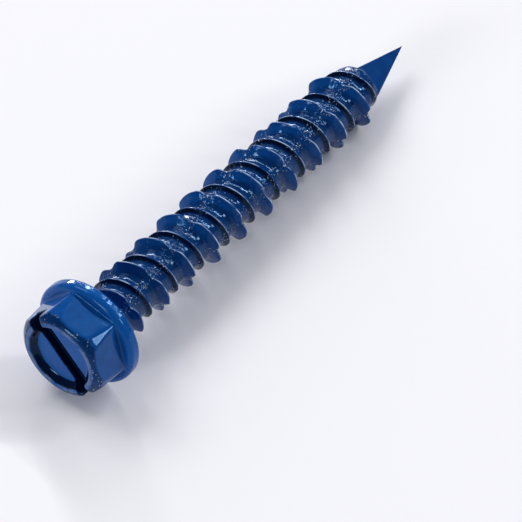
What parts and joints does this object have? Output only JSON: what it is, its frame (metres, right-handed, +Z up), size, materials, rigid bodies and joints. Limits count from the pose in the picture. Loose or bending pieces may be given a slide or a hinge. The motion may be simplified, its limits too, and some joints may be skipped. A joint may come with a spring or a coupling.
{
  "type": "concrete screw",
  "caption": "Blue coated masonry screw with a slotted hex washer head, a notched high thread with a low thread between its turns, and a sharp nail point.",
  "frame": {"origin": "centre of the bounding box on the surface that the screw lies on", "axes": "+Z up; +X from the head to the point, along the screw's length as it lies; +Y across it"},
  "size_m": [0.0494, 0.01, 0.01],
  "materials": {
    "blue_coating": "gloss"
  },
  "bodies": {
    "root": {"screw": "blue_coating"}
  },
  "joints": []
}
